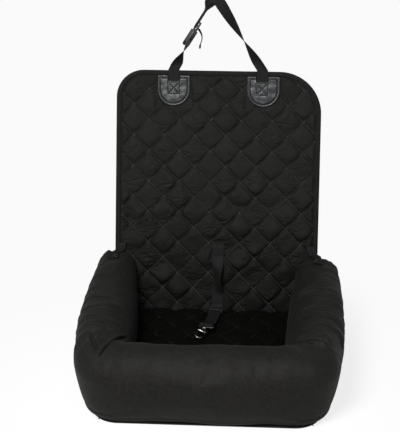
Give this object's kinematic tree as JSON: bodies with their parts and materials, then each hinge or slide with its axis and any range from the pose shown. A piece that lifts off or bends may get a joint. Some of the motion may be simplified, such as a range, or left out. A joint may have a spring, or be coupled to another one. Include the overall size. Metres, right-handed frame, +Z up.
{
  "type": "dog car seat",
  "caption": "Padded car seat for a small dog: a quilted bed in a thick U of bolsters, a fold-down quilted back panel, a headrest strap with a buckle and a harness tether.",
  "frame": {"origin": "on the flat underside, on the centre line of the left-right symmetry, 0.200 m behind the underside's front edge", "axes": "+X to the right seen from the front, +Y to the back, where the panel stands, +Z up out of the underside"},
  "size_m": [0.5832, 0.6676, 0.7282],
  "materials": {
    "black_fabric": "plain woven polyester, soft sheen",
    "quilted_fabric": "quilted woven polyester, matte",
    "black_webbing": "woven webbing, matte",
    "binding_tape": "ribbed tape, matte",
    "black_leather": "grained, semi-gloss",
    "grip_sheet": "coated non-slip cloth",
    "fibre_board": "raw pressed board",
    "black_plastic": "satin moulded",
    "nickel": "polished nickel plate"
  },
  "bodies": {
    "bed": {"bottom_cover": "grip_sheet", "base_board": "fibre_board", "seat_cushion": "quilted_fabric", "front_bolster": "black_fabric", "left_bolster": "black_fabric", "right_bolster": "black_fabric", "lower_panel_pad": "quilted_fabric", "lower_panel_board": "fibre_board", "lower_panel_back": "black_fabric", "lower_binding_left": "binding_tape", "lower_binding_right": "binding_tape", "left_tie": "black_webbing", "right_tie": "black_webbing", "left_stud": "nickel", "right_stud": "nickel", "tether_anchor": "black_webbing"},
    "back_panel": {"upper_panel_pad": "quilted_fabric", "upper_panel_board": "fibre_board", "upper_panel_back": "black_fabric", "upper_binding": "binding_tape", "left_patch": "black_leather", "right_patch": "black_leather", "left_strap_anchor": "black_webbing", "right_strap_anchor": "black_webbing"},
    "headrest_strap": {"left_strap": "black_webbing", "right_strap": "black_webbing", "buckle_socket": "black_plastic"},
    "plug": {"buckle_plug": "black_plastic", "strap_tail": "black_webbing"},
    "left_prong": {"prong_left": "black_plastic"},
    "right_prong": {"prong_right": "black_plastic"},
    "tether": {"tether_strap": "black_webbing", "swivel_eye": "nickel"},
    "slider": {"tether_slider": "black_plastic"},
    "hook": {"hook_body": "nickel"},
    "gate": {"hook_gate": "nickel"}
  },
  "joints": [
    {"name": "panel_fold", "type": "hinge", "parent": "bed", "child": "back_panel", "pos_m": [0, 0.2641, 0.19978], "axis": [1, 0, 0], "range_deg": [0, 105]},
    {"name": "strap_swing", "type": "hinge", "parent": "back_panel", "child": "headrest_strap", "pos_m": [0, 0.38116, 0.56971], "axis": [1, 0, 0], "range_deg": [-70, 0]},
    {"name": "plug_slide", "type": "slide", "parent": "headrest_strap", "child": "plug", "axis": [0.5299, 0.2602, 0.8071], "range_m": [0, 0.024]},
    {"name": "left_prong_squeeze", "type": "hinge", "parent": "plug", "child": "left_prong", "pos_m": [-0.05916, 0.41752, 0.65236], "axis": [-0.8152, -0.106, 0.5694], "range_deg": [0, 6], "stiffness_Nm_per_rad": 0.05},
    {"name": "right_prong_squeeze", "type": "hinge", "parent": "plug", "child": "right_prong", "pos_m": [-0.0543, 0.39756, 0.6556], "axis": [0.8152, 0.106, -0.5694], "range_deg": [0, 6], "stiffness_Nm_per_rad": 0.05},
    {"name": "tether_lift", "type": "hinge", "parent": "bed", "child": "tether", "pos_m": [0.005, 0.25069, 0.16733], "axis": [-1, 0, 0], "range_deg": [0, 25]},
    {"name": "slider_slide", "type": "slide", "parent": "tether", "child": "slider", "axis": [-0.1736, -0.9848, 0], "range_m": [0, 0.03]},
    {"name": "hook_swivel", "type": "hinge", "parent": "tether", "child": "hook", "pos_m": [-0.01716, 0.09146, 0.0646], "axis": [0.309, 0.9511, 0], "continuous": true},
    {"name": "gate_slide", "type": "slide", "parent": "hook", "child": "gate", "axis": [0.309, 0.9511, 0], "range_m": [0, 0.008], "stiffness_N_per_m": 60, "springref_m": -0.004}
  ],
  "couplings": [
    {"joint": "right_prong_squeeze", "follows": "left_prong_squeeze", "ratio": 1}
  ]
}
